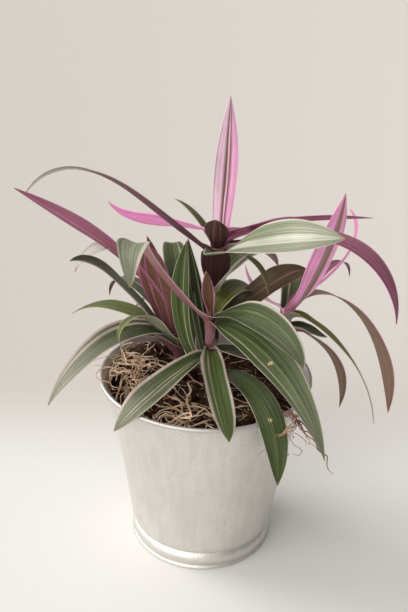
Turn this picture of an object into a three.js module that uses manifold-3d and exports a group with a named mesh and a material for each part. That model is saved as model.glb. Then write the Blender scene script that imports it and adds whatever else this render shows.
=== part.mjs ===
// Potted tradescantia: a striped boat-lily spiderwort in a small galvanised pot.
// Millimetres, +Z up. The origin is the middle of the pot's underside, and -Y is the front.
import * as THREE from 'three';
import * as BufferGeometryUtils from 'three/addons/utils/BufferGeometryUtils.js';
import Module from 'manifold-3d';

const wasm = await Module();
wasm.setup();

// ---- Driving dimensions ----
const POT_HEIGHT = 107;
const RIM_RADIUS = 60; // outside of the rolled rim
const RIM_ROLL = 1.7; // radius of the rolled edge
const MOUTH_RADIUS = 57; // outside of the wall just under the rim
const WAIST_RADIUS = 47.5; // outside of the wall half way up
const FOOT_RADIUS = 41; // outside of the foot ring
const SEAM_HEIGHT = 10; // the crimp that holds the base
const WALL = 1.2;
const BASE_THICKNESS = 1.5;
const SOIL_LEVEL = 97;
const SEAT = 0.3; // gap between pieces that touch
const POT_SIDES = 36;
const STEM_SIDES = 8;
const LEAF_STEPS = 10;
const LEAF_THICKNESS = 1.3; // at the midrib; the edges are thin
const WIDEST = 0.4; // how far along a blade is widest
const BLUNT = 2.1; // how full its point is
const BASE_WIDTH = 0.4; // of the blade's widest
const TIP_WIDTH = 0.04; // of the blade's widest
const FOLD = 0.3; // how far the edges lift, for each unit of half width
const ROOT_RADIUS = 0.7;
const ROOT_SIDES = 6;

// ---- Colours, roughness and metalness ----
const finish = {
  zinc: { color: 0xc9c6bf, roughness: 0.5, metalness: 0.7 },
  soil: { color: 0x3a2a20, roughness: 1.0, metalness: 0.0 },
  root: { color: 0xb08e68, roughness: 0.8, metalness: 0.0 },
  stem: { color: 0xb06a86, roughness: 0.6, metalness: 0.0 },
  striped: { color: 0x5f7a4c, roughness: 0.45, metalness: 0.0 },
  pale: { color: 0xc3cfae, roughness: 0.45, metalness: 0.0 },
  pink: { color: 0xc478a8, roughness: 0.45, metalness: 0.0 },
  purple: { color: 0x6b3a50, roughness: 0.45, metalness: 0.0 },
};

const plant = new THREE.Group();

function addMesh(name, geometry, look) {
  const mesh = new THREE.Mesh(geometry, new THREE.MeshStandardMaterial(finish[look]));
  mesh.name = name;
  plant.add(mesh);
}

// ---- Solids: cutting a piece back from its neighbours ----
function toSolid(geometry) {
  const bare = geometry.clone();
  bare.deleteAttribute('normal');
  bare.deleteAttribute('uv');
  const merged = BufferGeometryUtils.mergeVertices(bare, 1e-4);
  return new wasm.Manifold(new wasm.Mesh({
    numProp: 3,
    vertProperties: new Float32Array(merged.attributes.position.array),
    triVerts: new Uint32Array(merged.index.array),
  }));
}

function toGeometry(solid) {
  const mesh = solid.getMesh();
  const geometry = new THREE.BufferGeometry();
  geometry.setAttribute('position', new THREE.BufferAttribute(mesh.vertProperties, 3));
  geometry.setIndex(new THREE.BufferAttribute(mesh.triVerts, 1));
  geometry.computeVertexNormals();
  return geometry;
}

function largestPiece(solid) {
  const pieces = solid.decompose();
  return pieces.reduce((best, piece) => (piece.volume() > best.volume() ? piece : best));
}

// ---- Pot: a pressed zinc wall with a rolled rim and a foot ring, and a base crimped into it ----
function lathe(points, sides) {
  const geometry = new THREE.LatheGeometry(points.map(([r, z]) => new THREE.Vector2(r, z)), sides);
  geometry.rotateX(Math.PI / 2);
  return geometry;
}

const half = POT_HEIGHT / 2;
const foot = FOOT_RADIUS;
const footInside = FOOT_RADIUS - 2.5;

function rolledRim(grow) {
  const points = [];
  const roll = RIM_ROLL + grow;
  for (let angle = -120; angle <= 150; angle += 45) {
    const turn = THREE.MathUtils.degToRad(angle);
    points.push([
      RIM_RADIUS - RIM_ROLL + roll * Math.cos(turn),
      POT_HEIGHT - RIM_ROLL + roll * Math.sin(turn),
    ]);
  }
  return points;
}

function wallGeometry(grow) {
  return lathe([
    [footInside, 0],
    [foot, 0],
    [foot + 0.4, 2],
    [foot - 0.2, SEAM_HEIGHT - 1],
    [foot - 1, SEAM_HEIGHT],
    [foot + 0.6, SEAM_HEIGHT + 2],
    [WAIST_RADIUS + grow, half],
    [MOUTH_RADIUS + grow, POT_HEIGHT - 3.2],
    ...rolledRim(grow),
    [MOUTH_RADIUS - WALL - grow, POT_HEIGHT - 4],
    [WAIST_RADIUS - WALL - grow, half],
    [foot + 0.6 - WALL, SEAM_HEIGHT + 2],
    [footInside, SEAM_HEIGHT],
    [footInside, 0],
  ], POT_SIDES);
}

addMesh('pot_wall', wallGeometry(0), 'zinc');

addMesh('pot_base', lathe([
  [0, 0],
  [footInside - SEAT, 0],
  [footInside - SEAT, BASE_THICKNESS],
  [0, BASE_THICKNESS],
], POT_SIDES), 'zinc');

// ---- Soil: fills the pot to just under the rim, low in the middle and lumpy ----
function soilHeight(radius) {
  return SOIL_LEVEL - 2 + 2 * Math.cos(radius / 11);
}

function wallInside(z) {
  const seam = SEAM_HEIGHT + 2;
  if (z < half) {
    return THREE.MathUtils.mapLinear(z, seam, half, foot + 0.6, WAIST_RADIUS) - WALL - SEAT;
  }
  return THREE.MathUtils.mapLinear(z, half, POT_HEIGHT - 4, WAIST_RADIUS, MOUTH_RADIUS) - WALL - SEAT;
}

const soilRim = soilHeight(54);

function soilGeometry(raise) {
  const top = [48, 40, 30, 20, 10, 0].map((radius) => [radius, soilHeight(radius) + raise]);
  return lathe([
    [0, BASE_THICKNESS + SEAT],
    [footInside - SEAT, BASE_THICKNESS + SEAT],
    [footInside - SEAT, SEAM_HEIGHT + 1],
    [wallInside(SEAM_HEIGHT + 3), SEAM_HEIGHT + 3],
    [wallInside(half), half],
    [wallInside(soilRim), soilRim + raise],
    ...top,
  ], POT_SIDES);
}

// ---- Shoots: each stem stands in the soil, and the leaves grow from it ----
function tube(points, radius, steps, sides) {
  const circle = new THREE.Shape();
  circle.absarc(0, 0, radius, 0, 2 * Math.PI);
  const curve = new THREE.CatmullRomCurve3(points.map((point) => new THREE.Vector3(...point)));
  return new THREE.ExtrudeGeometry(circle, {
    steps, curveSegments: sides / 2, bevelEnabled: false, extrudePath: curve,
  });
}

const shoots = {
  front: { radius: 2.6, path: [[3, 2, 90], [2, 1, 120], [1, 1, 148]] },
  left: { radius: 3, path: [[-13, 14, 88], [-16, 13, 112], [-18, 12, 131]] },
  crown: { radius: 3.4, path: [[5, 24, 86], [4, 25, 140], [5, 26, 187]] },
  right: { radius: 2.8, path: [[35, 24, 88], [43, 28, 116], [50, 31, 139]] },
};

// The point on a stem's middle line at a given height.
function stemAt(shoot, z) {
  const [low, middle, high] = shoot.path.map((point) => new THREE.Vector3(...point));
  const [from, to] = z < middle.z ? [low, middle] : [middle, high];
  return new THREE.Vector3().lerpVectors(from, to, (z - from.z) / (to.z - from.z));
}

// Everything placed so far, a seat's gap larger than it is, so that the next piece stays clear of it.
let taken = toSolid(soilGeometry(SEAT)).add(toSolid(wallGeometry(SEAT)));
let soil = toSolid(soilGeometry(0));

for (const [name, { path, radius }] of Object.entries(shoots)) {
  addMesh(`stem_${name}`, tube(path, radius, 6, STEM_SIDES), 'stem');
  const clear = toSolid(tube(path, radius + SEAT, 6, STEM_SIDES));
  soil = soil.subtract(clear);
  taken = taken.add(clear);
}
addMesh('soil', toGeometry(soil), 'soil');

// ---- Leaves ----
// A leaf starts `at` a height on its stem and heads `to` a compass angle, in degrees from +X.
// It climbs at the angle `rise`, which falls to `droop` at the tip, late or early by the power
// `late`, while the heading swings by `sweep`. `turn` rolls the blade about its midrib, with the
// upper face going to the right of the heading, and `twist` rolls it further towards the tip.
// `long` and `wide` are in millimetres. The blade is widest at the share `widest` of its length,
// and `neck` is its width where it starts, as a part of that. `blunt` fills out its point, and
// `flare` keeps it narrow until it nears its widest.
function midrib(shoot, { at, to, rise, droop, late = 1, sweep = 0, long }) {
  const radians = THREE.MathUtils.degToRad;
  const outward = new THREE.Vector3(Math.cos(radians(to)), Math.sin(radians(to)), 0);
  const point = stemAt(shoot, at).addScaledVector(outward, shoot.radius + SEAT);
  const points = [point.clone()];
  for (let i = 0; i < LEAF_STEPS; i++) {
    const t = (i + 0.5) / LEAF_STEPS;
    const climb = radians(rise + (droop - rise) * t ** late);
    const heading = radians(to + sweep * t);
    const flat = Math.cos(climb);
    const step = new THREE.Vector3(flat * Math.cos(heading), flat * Math.sin(heading), Math.sin(climb));
    point.addScaledVector(step, long / LEAF_STEPS);
    points.push(point.clone());
  }
  return points;
}

// The blade's width along its length, as a part of its widest: a clasping base and a long point.
function bladeWidth(t, { neck = BASE_WIDTH, widest = WIDEST, blunt = BLUNT, flare = 1 }) {
  if (t < widest) return neck + (1 - neck) * Math.sin((Math.PI / 2) * (t / widest)) ** flare;
  return Math.max(1 - ((t - widest) / (1 - widest)) ** blunt, TIP_WIDTH);
}

// Brings a place on a blade that crosses the rim forward, until the blade lies on the bead.
const FORWARD = new THREE.Vector3(0, -0.84, 0.55);
const RIM_GAP = 1.4; // from the bead up to the middle of the blade
const RIM_REACH = 12; // how far from the bead a blade bends to pass over it
function overRim(place) {
  const out = Math.hypot(place.x, place.y) - (RIM_RADIUS - RIM_ROLL);
  const high = place.z - (POT_HEIGHT - RIM_ROLL);
  const sunk = Math.max(RIM_ROLL + RIM_GAP - (out + high) / Math.SQRT2, 0);
  const past = (out - high) / Math.SQRT2;
  return place.addScaledVector(FORWARD, (sunk * Math.exp(-((past / RIM_REACH) ** 2))) / 0.86);
}

// A thin blade folded along its midrib: four corners around each step of the midrib.
function blade(points, leaf, extra) {
  const { wide, turn = 0, twist = 0 } = leaf;
  const last = points.length - 1;
  const across = new THREE.Vector3();
  const vertices = [];
  points.forEach((point, i) => {
    const ahead = points[Math.min(i + 1, last)].clone().sub(points[Math.max(i - 1, 0)]).normalize();
    if (i === 0) across.crossVectors(ahead, new THREE.Vector3(0, 0, 1));
    across.addScaledVector(ahead, -across.dot(ahead)).normalize();
    const roll = THREE.MathUtils.degToRad(turn + twist * (i / last));
    const side = across.clone().applyAxisAngle(ahead, roll);
    const up = new THREE.Vector3().crossVectors(side, ahead);
    const reach = (wide / 2) * bladeWidth(i / last, leaf) + extra;
    const thick = LEAF_THICKNESS / 2 + extra;
    const corners = [[reach, 0], [0, thick], [-reach, 0], [0, -thick]];
    for (const [s, u] of corners) {
      const place = point.clone().addScaledVector(side, s).addScaledVector(up, Math.abs(s) * FOLD);
      if (leaf.rests) overRim(place);
      vertices.push(...place.addScaledVector(up, u).toArray());
    }
  });
  const faces = [0, 1, 3, 1, 2, 3];
  for (let i = 0; i < 4 * last; i += 4) {
    for (let k = 0; k < 4; k++) {
      const next = (k + 1) % 4;
      faces.push(i + k, i + k + 4, i + next, i + next, i + k + 4, i + next + 4);
    }
  }
  const end = 4 * last;
  faces.push(end, end + 3, end + 1, end + 1, end + 3, end + 2);
  const geometry = new THREE.BufferGeometry();
  geometry.setAttribute('position', new THREE.Float32BufferAttribute(vertices, 3));
  geometry.setIndex(faces);
  return geometry;
}

const leaves = {
  front: {
    big_right: {
      at: 138, to: -45, rise: 20, droop: -70, late: 0.8, turn: 30, twist: 40,
      long: 105, wide: 19, blunt: 1.4, look: 'striped',
    },
    arch_right: {
      at: 141, to: -65, rise: 35, droop: -79, late: 2, sweep: 35, turn: 30, twist: 60,
      long: 83, wide: 15, neck: 0.25, widest: 0.6, blunt: 2.6, flare: 3, look: 'striped',
    },
    over_rim: {
      at: 123, to: -88, rise: 0, droop: -35, late: 1.2, sweep: 15, turn: -10, twist: -20,
      long: 69, wide: 15, widest: 0.5, blunt: 5, flare: 0.5, look: 'striped',
    },
    lower_left: {
      at: 118, to: -130, rise: 15, droop: -32, late: 0.5, sweep: -8, turn: 10, twist: -20,
      long: 72, wide: 18, widest: 0.5, blunt: 3, rests: 'rim', look: 'striped',
    },
    drip_right: {
      at: 102, to: -48, rise: 48, droop: -89, late: 0.9, sweep: -26,
      long: 93, wide: 16, widest: 0.6, rests: 'rim', look: 'striped',
    },
    flopped: {
      at: 139, to: -147, rise: 49, droop: -130, late: 6, sweep: 66, turn: 30,
      long: 126, wide: 15, neck: 0.34, widest: 0.8, blunt: 1.2, flare: 30, look: 'pink',
    },
    spear: {
      at: 144, to: 120, rise: 88, droop: 80,
      long: 22, wide: 8, look: 'pink',
    },
    upright: {
      at: 108, to: -175, rise: 15, droop: 101, late: 0.3, turn: -105,
      long: 81, wide: 10, neck: 0.4, widest: 0.65, blunt: 1.8, look: 'striped',
    },
    round_back: {
      at: 134, to: 65, rise: 55, droop: -60, sweep: -15, turn: -40, twist: 80,
      long: 60, wide: 16, widest: 0.45, blunt: 2.4, look: 'striped',
    },
    under_right: {
      at: 121, to: -43, rise: 22, droop: -26, late: 1.4, sweep: 13,
      long: 48, wide: 13, look: 'striped',
    },
    tall_green: {
      at: 104, to: 148, rise: 63, droop: -67, late: 5, sweep: -60, twist: -40,
      long: 94, wide: 15, widest: 0.7, look: 'striped',
    },
    sheath_left: {
      at: 100, to: 170, rise: 70, droop: 85,
      long: 28, wide: 11, look: 'pale',
    },
  },
  left: {
    pink_fan: {
      at: 116, to: -128, rise: 72, droop: 68, late: 1.4, twist: 80,
      long: 74, wide: 16, neck: 0.4, widest: 0.7, blunt: 2.6, look: 'pink',
    },
    pink_back: {
      at: 120, to: 180, rise: 80, droop: 74, late: 1.4, turn: -10, twist: -40,
      long: 64, wide: 12, widest: 0.5, look: 'pink',
    },
    long_left: {
      at: 120, to: -137, rise: 64, droop: -55, late: 0.7, turn: -20,
      long: 99, wide: 15, look: 'striped',
    },
    far_left: {
      at: 123, to: -128, rise: 83, droop: 27, late: 0.6, sweep: -52, turn: -10, twist: 60,
      long: 132, wide: 9, widest: 0.7, blunt: 1.6, look: 'purple',
    },
    dark_left: {
      at: 120, to: -159, rise: 53, droop: 5, late: 4, sweep: 47, turn: -10,
      long: 101, wide: 16, blunt: 1.8, look: 'striped',
    },
    cream_left: {
      at: 124, to: -168, rise: 72, droop: -69, late: 3, sweep: 36, turn: 10,
      long: 98, wide: 12, widest: 0.6, look: 'pale',
    },
    olive_left: {
      at: 121, to: 149, rise: 25, droop: -40, late: 1.4, sweep: 10,
      long: 74, wide: 12, blunt: 3, look: 'striped',
    },
    curl: {
      at: 118, to: -120, rise: 50, droop: -145, late: 4, sweep: -15, turn: 10,
      long: 69, wide: 9, widest: 0.5, blunt: 1.6, look: 'striped',
    },
    under_left: {
      at: 112, to: -139, rise: 53, droop: -26, late: 1.8,
      long: 48, wide: 15, look: 'striped',
    },
    low_pale: {
      at: 118, to: -172, rise: 42, droop: -45,
      long: 54, wide: 9, look: 'pale',
    },
    back_left: {
      at: 129, to: 132, rise: 27, droop: -88, late: 2.5,
      long: 73, wide: 10, look: 'striped',
    },
    back: {
      at: 116, to: 100, rise: 45, droop: -50,
      long: 72, wide: 13, look: 'striped',
    },
  },
  crown: {
    tall_pink: {
      at: 164, to: 79, rise: 70, droop: 80, late: 0.5, turn: -20, twist: 60,
      long: 90, wide: 13, widest: 0.55, look: 'pink',
    },
    pale_right: {
      at: 169, to: -81, rise: 27, droop: 14, late: 1.6, sweep: 56, turn: 20, twist: 30,
      long: 105, wide: 30, widest: 0.55, blunt: 2.8, flare: 0.6, look: 'pale',
    },
    long_left: {
      at: 168, to: -142, rise: 41, droop: -48, late: 4.8, sweep: 10, turn: 10,
      long: 141, wide: 11, neck: 0.7, widest: 0.5, blunt: 1.6, look: 'purple',
    },
    arch_right: {
      at: 171, to: -9, rise: 22, droop: -90, late: 2.3, sweep: -47, turn: 10, twist: -20,
      long: 126, wide: 13, widest: 0.6, blunt: 1.8, look: 'purple',
    },
    heart: {
      at: 171, to: -112, rise: 75, droop: 100,
      long: 19, wide: 15, widest: 0.6, blunt: 3, look: 'purple',
    },
    bract: {
      at: 146, to: -95, rise: 74, droop: 82,
      long: 30, wide: 17, widest: 0.75, blunt: 4, look: 'purple',
    },
    magenta_left: {
      at: 179, to: 125, rise: -5, droop: 56, late: 5, sweep: 57, turn: 20, twist: 60,
      long: 77, wide: 12, neck: 0.7, widest: 0.5, blunt: 1.8, look: 'pink',
    },
    small_back: {
      at: 174, to: 127, rise: 38, droop: -3, late: 1.3,
      long: 43, wide: 5, look: 'striped',
    },
    pink_right: {
      at: 180, to: 19, rise: 15, droop: -1, late: 0.5, sweep: -18, turn: -30, twist: -40,
      long: 87, wide: 7, blunt: 1.5, look: 'purple',
    },
    pink_low: {
      at: 175, to: 18, rise: 21, droop: 11, late: 1.2,
      long: 42, wide: 9, widest: 0.5, look: 'purple',
    },
    cream_up: {
      at: 146, to: -72, rise: 54, droop: 47, sweep: 30, turn: 40,
      long: 44, wide: 12, look: 'pale',
    },
    thin_down: {
      at: 166, to: -38, rise: 54, droop: -89, late: 0.9, sweep: 5, turn: -30, twist: 40,
      long: 44, wide: 7, blunt: 1.8, look: 'striped',
    },
    dark_right: {
      at: 129, to: -11, rise: 39, droop: -58, late: 4.5, sweep: 46, turn: 30,
      long: 66, wide: 19, widest: 0.55, look: 'purple',
    },
    dark_back: {
      at: 100, to: -168, rise: 71, droop: 85, late: 0.5, turn: -100,
      long: 80, wide: 13, look: 'striped',
    },
    back_left: {
      at: 125, to: 130, rise: 20, droop: -50,
      long: 85, wide: 15, look: 'striped',
    },
    back: {
      at: 140, to: 90, rise: 30, droop: -70,
      long: 85, wide: 16, look: 'striped',
    },
    back_right: {
      at: 150, to: 60, rise: 25, droop: -50,
      long: 88, wide: 14, look: 'striped',
    },
  },
  right: {
    pink_up: {
      at: 133, to: -34, rise: 62, droop: 86, late: 1.3, sweep: 7, turn: -20,
      long: 80, wide: 19, widest: 0.6, blunt: 1.6, look: 'pink',
    },
    thin_down: {
      at: 131, to: -42, rise: 26, droop: -82, late: 0.5, sweep: 47, twist: -20,
      long: 90, wide: 9, widest: 0.3, blunt: 1.3, look: 'striped',
    },
    mauve_down: {
      at: 135, to: 53, rise: 37, droop: -89, late: 0.5, sweep: -90, turn: 10, twist: -60,
      long: 140, wide: 10, widest: 0.7, look: 'purple',
    },
    grey_down: {
      at: 123, to: 23, rise: -30, droop: -103, late: 1.6, turn: -10, twist: -20,
      long: 84, wide: 8, widest: 0.6, blunt: 1.8, look: 'purple',
    },
    short_right: {
      at: 121, to: -2, rise: -4, droop: -16,
      long: 24, wide: 17, look: 'striped',
    },
    magenta_curl: {
      at: 138, to: 16, rise: 41, droop: 12, late: 0.5, sweep: 90, turn: -50,
      long: 94, wide: 7, widest: 0.5, look: 'pink',
    },
    pink_left: {
      at: 133, to: 125, rise: -15, droop: 79, late: 1.6, sweep: 9,
      long: 46, wide: 6, look: 'pink',
    },
    small_back: {
      at: 136, to: 49, rise: 26, droop: -91, late: 3,
      long: 69, wide: 7, look: 'purple',
    },
    back: {
      at: 128, to: 80, rise: 40, droop: -60,
      long: 80, wide: 14, look: 'striped',
    },
  },
};

for (const [shootName, blades] of Object.entries(leaves)) {
  for (const [leafName, leaf] of Object.entries(blades)) {
    const points = midrib(shoots[shootName], leaf);
    const solid = largestPiece(toSolid(blade(points, leaf, 0)).subtract(taken));
    addMesh(`${shootName}_${leafName}`, toGeometry(solid), leaf.look);
    taken = taken.add(toSolid(blade(points, leaf, SEAT)));
  }
}

// ---- Roots: loose strands on the soil, and one that leaves it to hang over the rim ----
// A point that stands `lift` millimetres above where a root would lie on the soil.
function overSoil([x, y, lift]) {
  return [x, y, soilHeight(Math.hypot(x, y)) + ROOT_RADIUS + SEAT + lift];
}

const roots = {
  roots_left: [[-44, 6, 0], [-38, -6, 3], [-43, -14, 0], [-34, -22, 3], [-27, -14, 0]].map(overSoil),
  roots_front: [[-22, -32, 0], [-13, -41, 3], [-5, -34, 0], [1, -45, 3], [9, -38, 0]].map(overSoil),
  roots_right: [
    ...[[36, -24, 0], [42, -28, 4]].map(overSoil),
    [50, -33, 109.5], [57, -37, 106], [61, -40, 92], [59, -44, 80], [65, -46, 70],
  ],
};

for (const [name, path] of Object.entries(roots)) {
  const strand = toSolid(tube(path, ROOT_RADIUS, 4 * path.length, ROOT_SIDES));
  addMesh(name, toGeometry(largestPiece(strand.subtract(taken))), 'root');
}

export default plant;
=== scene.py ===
import math
import random

import bmesh
import bpy
from mathutils import Matrix, Vector


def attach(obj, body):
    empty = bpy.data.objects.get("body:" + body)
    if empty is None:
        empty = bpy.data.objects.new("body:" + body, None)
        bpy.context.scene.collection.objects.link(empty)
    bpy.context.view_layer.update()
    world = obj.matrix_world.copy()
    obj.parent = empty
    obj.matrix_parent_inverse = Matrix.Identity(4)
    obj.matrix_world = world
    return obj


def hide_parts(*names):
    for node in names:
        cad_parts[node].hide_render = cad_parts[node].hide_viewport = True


# A potted tradescantia: a striped boat-lily spiderwort in a small galvanised pot.
# Shapes are worked out in millimetres and stored in metres. +Z is up and -Y is the front.

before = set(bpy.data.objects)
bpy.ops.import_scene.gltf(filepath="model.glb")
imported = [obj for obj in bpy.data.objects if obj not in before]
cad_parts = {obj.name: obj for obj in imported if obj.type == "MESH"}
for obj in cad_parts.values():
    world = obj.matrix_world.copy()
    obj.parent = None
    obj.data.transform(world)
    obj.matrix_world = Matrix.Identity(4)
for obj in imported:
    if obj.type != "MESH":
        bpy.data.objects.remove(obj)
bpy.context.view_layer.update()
bpy.ops.object.select_all(action="DESELECT")

MM = 0.001
FULL_TURN = 6.28  # in radians

POT_HEIGHT = 107
RIM_RADIUS = 60  # outside of the rolled rim
RIM_ROLL = 1.2  # radius of the rolled edge
MOUTH_RADIUS = 57  # outside of the wall just under the rim
WAIST_RADIUS = 47.5  # outside of the wall half way up
FOOT_RADIUS = 41
WALL = 1.2
POT_SIDES = 144

SOIL_LEVEL = 97
SOIL_RADIUS = 54
SOIL_SIDES = 110
SOIL_RINGS = 30
SOIL_SWELL = 2  # how far the soil's rings rise and fall
SOIL_SURFACE = 92  # what is over this height belongs to the soil's lumpy top
HEAP_PLACE = (-38, 29)
HEAP_HEIGHT = 9.5
HEAP_SPREAD = 17

LEAF_ROWS = 44  # squares along a leaf
LEAF_COLUMNS = 12  # squares across it
LEAF_STEPS = 40  # steps in which its middle line is worked out
LEAF_THICKNESS = 0.42
SHEATH = 9  # length of the part of a leaf that clasps the stem
BEND = 9  # length of blade in which it turns away from the stem
SEAT = 0.3  # between a stem and the start of a blade's middle line
OPEN_CURL = 32  # radius that an open blade curls to across its width
RIM_GAP = 0.4  # between the rim and a blade that lies on it
RIM_REACH = 12  # how far from the rim such a blade bends to pass over it
FORWARD = Vector((0, -0.84, 0.55))  # the way that it bends
FORWARD_LIFT = 0.86  # how far that takes it straight off the rim


# ---- Camera, light and floor ----
def add_camera():
    """The camera that fits the pot's outline in the photograph."""
    lens = bpy.data.cameras.new("camera")
    lens.lens = 49.98
    lens.clip_start = 0.01
    camera = bpy.data.objects.new("camera", lens)
    bpy.context.scene.collection.objects.link(camera)
    camera.location = (-0.0021, -0.4190, 0.3439)
    tilt = Matrix.Rotation(math.radians(64.89), 4, "X")
    turned = tilt @ Matrix.Rotation(math.radians(1.71), 4, "Z")
    camera.rotation_euler = turned.to_euler()
    bpy.context.scene.camera = camera


def add_lamp(name, place, power, colour, spread):
    """A lamp as far off as the sun, and as broad as its spread, aimed at the plant's middle."""
    light = bpy.data.lights.new(name, "SUN")
    light.energy = power
    light.color = colour
    light.angle = math.radians(spread)
    lamp = bpy.data.objects.new(name, light)
    bpy.context.scene.collection.objects.link(lamp)
    lamp.location = place
    aim = Vector((0, 0, 0.12)) - Vector(place)
    lamp.rotation_euler = aim.to_track_quat("-Z", "Y").to_euler()


def add_daylight():
    """Two broad lamps, both from the left, in a pale room."""
    world = bpy.data.worlds.new("pale room")
    bpy.context.scene.world = world
    room_light(world)
    add_lamp("window", (-0.8, 0.3, 0.62), 1.8, (1.0, 0.985, 0.965), 35)
    add_lamp("daylight", (-0.5, -0.75, 0.6), 1.7, (1.0, 0.98, 0.96), 70)
    bpy.context.scene.view_settings.view_transform = "Standard"


def room_light(world):
    """A pale room, bright to the left and above, and dim to the right of the viewer."""
    f = Finish(world)
    x, _, z = f.parts(f.node("ShaderNodeTexCoord", output="Generated"))
    bright = (z * 0.25 - x).rise(-0.9, 1.0)
    colour = f.blend(bright, (0.22, 0.21, 0.2), (0.98, 0.96, 0.94))
    sky = f.node("ShaderNodeBackground", inputs={"Color": colour, "Strength": 0.95})
    f.node("ShaderNodeOutputWorld", inputs={"Surface": sky})


def add_floor():
    bpy.ops.mesh.primitive_plane_add(size=14)
    floor = bpy.context.object
    floor.name = "floor"
    floor.data.materials.append(floor_finish())
    bpy.ops.object.select_all(action="DESELECT")


# ---- Finishes ----
class Number:
    """A number that changes over a surface. Sums with it add Math nodes to its finish."""

    def __init__(self, finish, socket):
        self.finish = finish
        self.socket = socket

    def maths(self, operation, *values):
        return self.finish.node("ShaderNodeMath", {"operation": operation}, dict(enumerate(values)))

    def __add__(self, other):
        return self.maths("ADD", self, other)

    def __sub__(self, other):
        return self.maths("SUBTRACT", self, other)

    def __rsub__(self, other):
        return self.maths("SUBTRACT", other, self)

    def __mul__(self, other):
        return self.maths("MULTIPLY", self, other)

    def __truediv__(self, other):
        return self.maths("DIVIDE", self, other)

    def __abs__(self):
        return self.maths("ABSOLUTE", self)

    __radd__ = __add__
    __rmul__ = __mul__

    def most(self, other):
        return self.maths("MAXIMUM", self, other)

    def rise(self, low, high):
        """0 where the number is at low and 1 where it is at high, with a soft start and end."""
        return self.finish.node(
            "ShaderNodeMapRange",
            {"interpolation_type": "SMOOTHSTEP"},
            {"Value": self, "From Min": low, "From Max": high},
        )


class Finish:
    """A material, or the world around, built up node by node."""

    def __init__(self, owner):
        self.material = bpy.data.materials.new(owner) if isinstance(owner, str) else owner
        self.material.use_nodes = True
        self.tree = self.material.node_tree
        self.tree.nodes.clear()

    def node(self, kind, settings=None, inputs=None, output=0):
        """Adds a node with its settings and the values or links of its sockets."""
        node = self.tree.nodes.new(kind)
        for setting, value in (settings or {}).items():
            setattr(node, setting, value)
        for socket, value in (inputs or {}).items():
            if isinstance(value, Number):
                self.tree.links.new(value.socket, node.inputs[socket])
            else:
                node.inputs[socket].default_value = value
        return Number(self, node.outputs[output]) if node.outputs else None

    def place(self):
        """Where a point is on the object, in metres."""
        return self.node("ShaderNodeTexCoord", output="Object")

    def parts(self, vector):
        split = self.node("ShaderNodeSeparateXYZ", inputs={0: vector})
        return [Number(self, socket) for socket in split.socket.node.outputs]

    def vector(self, x, y, z):
        return self.node("ShaderNodeCombineXYZ", inputs={0: x, 1: y, 2: z})

    def trait(self, name):
        """The three numbers that a leaf carries under a name."""
        source = {"attribute_name": name}
        return self.parts(self.node("ShaderNodeAttribute", source, output="Vector"))

    def cloud(self, where, scale, detail=3.0, roughness=0.55):
        return self.node(
            "ShaderNodeTexNoise",
            inputs={"Vector": where, "Scale": scale, "Detail": detail, "Roughness": roughness},
        )

    def blend(self, amount, first, second):
        """first where amount is 0, second where it is 1."""
        pair = [(*c, 1) if isinstance(c, tuple) else c for c in (first, second)]
        return self.node(
            "ShaderNodeMix",
            {"data_type": "RGBA", "clamp_factor": True},
            {0: amount, 6: pair[0], 7: pair[1]},
            output=2,
        )

    def bump(self, height, depth, strength=1.0):
        return self.node(
            "ShaderNodeBump", inputs={"Height": height, "Distance": depth, "Strength": strength}
        )

    def surface(self, **inputs):
        """The shader, with its sockets named in snake case."""
        names = {name.replace("_", " ").title().replace("Ior", "IOR"): value
                 for name, value in inputs.items()}
        shader = self.node("ShaderNodeBsdfPrincipled", inputs=names)
        self.node("ShaderNodeOutputMaterial", inputs={"Surface": shader})
        return self.material


def floor_finish():
    """Pale and faintly mottled. Far behind the pot it takes the tone of a wall."""
    f = Finish("plain pale floor")
    where = f.place()
    x, y, _ = f.parts(where)
    far = y.rise(0.04, 0.17)
    to_right = (x / (y + 0.45)).rise(-0.3, 0.35)
    wall = f.blend(to_right, (0.57, 0.535, 0.5), (0.65, 0.612, 0.58))
    grain = f.cloud(where, 60.0, 4.0)
    near = f.blend(grain * 0.25, (0.74, 0.73, 0.71), (0.7, 0.685, 0.66))
    colour = f.blend(far, near, wall)
    normal = f.bump(f.cloud(where, 900.0), 0.0002, 0.2)
    return f.surface(base_color=colour, roughness=grain * 0.1 + 0.75, normal=normal)


def zinc_finish():
    """Galvanised sheet: faint mottles and drawn streaks, fine pits and a few dull stains. The top
    of
    the rolled rim is darkened: painted shade.
    """
    f = Finish("galvanised zinc")
    where = f.place()
    x, y, z = f.parts(where)
    mottle = f.cloud(where, 60.0, 4.0)
    speck = f.cloud(where, 1500.0, 2.0)
    drawn = f.cloud(f.vector(x * 260.0, y * 260.0, z * 12.0), 1.0, 3.0)
    cells = f.node("ShaderNodeTexVoronoi", inputs={"Vector": where, "Scale": 520.0})
    pits = (1 - cells.rise(0.12, 0.3)) * mottle.rise(0.42, 0.6)
    tone = mottle * 0.4 + drawn * 0.4 + speck * 0.2
    colour = f.blend(tone.rise(0.35, 0.65), (0.62, 0.6, 0.56), (0.71, 0.695, 0.66))
    colour = f.blend(pits * 0.5, colour, (0.47, 0.45, 0.41))
    foot_dirt = (1 - z.rise(0.0, 0.013)) * mottle.rise(0.4, 0.7)
    colour = f.blend(foot_dirt * 0.3, colour, (0.36, 0.32, 0.27))
    # Painted shade: the top of the rolled rim is darkened.
    painted_rim_shade = z.rise(0.1042, 0.1052)
    colour = f.blend(painted_rim_shade * 0.55, colour, (0.4, 0.39, 0.37))
    roughness = 0.3 + mottle * 0.12 + speck * 0.1 + pits * 0.2
    normal = f.bump(speck * 0.25 + drawn * 0.4 - pits * 1.4, 0.0002, 0.6)
    return f.surface(base_color=colour, metallic=0.78, roughness=roughness, normal=normal)


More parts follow.
